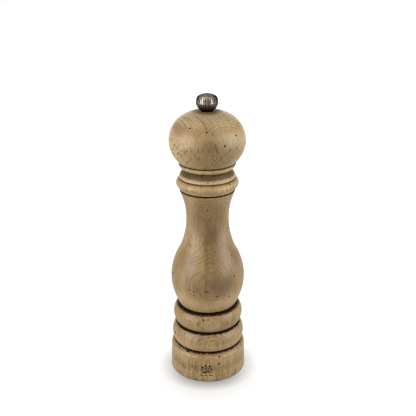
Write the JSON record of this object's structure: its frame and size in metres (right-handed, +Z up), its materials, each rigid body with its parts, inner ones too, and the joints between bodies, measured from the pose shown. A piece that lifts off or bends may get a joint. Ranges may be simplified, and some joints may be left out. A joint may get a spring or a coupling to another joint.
{
  "type": "pepper mill",
  "caption": "Turned wooden pepper mill with a rounded turning head, a fluted metal adjusting knob and a steel grinding mechanism inside.",
  "frame": {"origin": "centre of the foot, on the surface the mill stands on", "axes": "+Z up along the turning axis, +X towards one screw of the retaining plate"},
  "size_m": [0.0586, 0.0586, 0.2192],
  "materials": {
    "body_wood": "aged turned beech, oiled, satin",
    "head_wood": "aged turned beech, oiled, satin",
    "knob_metal": "dark antique finish, polished on the ridges of its flutes",
    "insert_steel": "plain turned steel",
    "washer_steel": "plain stamped steel",
    "bush_brass": "turned brass, dull",
    "plate_steel": "stamped steel, zinc plated",
    "screw_steel": "zinc plated steel, slotted",
    "shaft_steel": "drawn square steel bar",
    "spring_steel": "spring steel wire",
    "burr_steel": "case-hardened steel, dark"
  },
  "bodies": {
    "mill_body": {"body": "body_wood", "stator": "burr_steel", "bridge": "plate_steel", "bridge_bush": "bush_brass", "retaining_plate": "plate_steel", "retaining_plate_screws": "screw_steel"},
    "thrust": {"thrust_washer": "washer_steel", "spring": "spring_steel"},
    "spindle": {"shaft": "shaft_steel", "rotor": "burr_steel", "rotor_washer": "washer_steel", "spring_seat": "washer_steel"},
    "turning_head": {"head": "head_wood", "head_bush": "bush_brass", "drive_plate": "plate_steel", "drive_plate_screws": "screw_steel"},
    "washer": {"knob_washer": "washer_steel"},
    "adjuster": {"knob": "knob_metal", "knob_insert": "insert_steel"}
  },
  "joints": [
    {"name": "head_turn", "type": "hinge", "parent": "mill_body", "child": "thrust", "pos_m": [0, 0, 0.03], "axis": [0, 0, 1], "continuous": true},
    {"name": "grind_adjust", "type": "slide", "parent": "thrust", "child": "spindle", "axis": [0, 0, 1], "range_m": [-0.0016, 0.00048], "deforming": ["spring"]},
    {"name": "head_lift", "type": "slide", "parent": "thrust", "child": "turning_head", "axis": [0, 0, 1], "range_m": [0, 0.115]},
    {"name": "knob_lift", "type": "slide", "parent": "turning_head", "child": "washer", "axis": [0, 0, 1], "range_m": [0, 0.025]},
    {"name": "knob_turn", "type": "hinge", "parent": "washer", "child": "adjuster", "pos_m": [0, 0, 0.2069], "axis": [0, 0, 1], "range_deg": [-218, 722]}
  ],
  "couplings": [
    {"joint": "knob_turn", "follows": "grind_adjust", "rad_per_m": -7854}
  ]
}
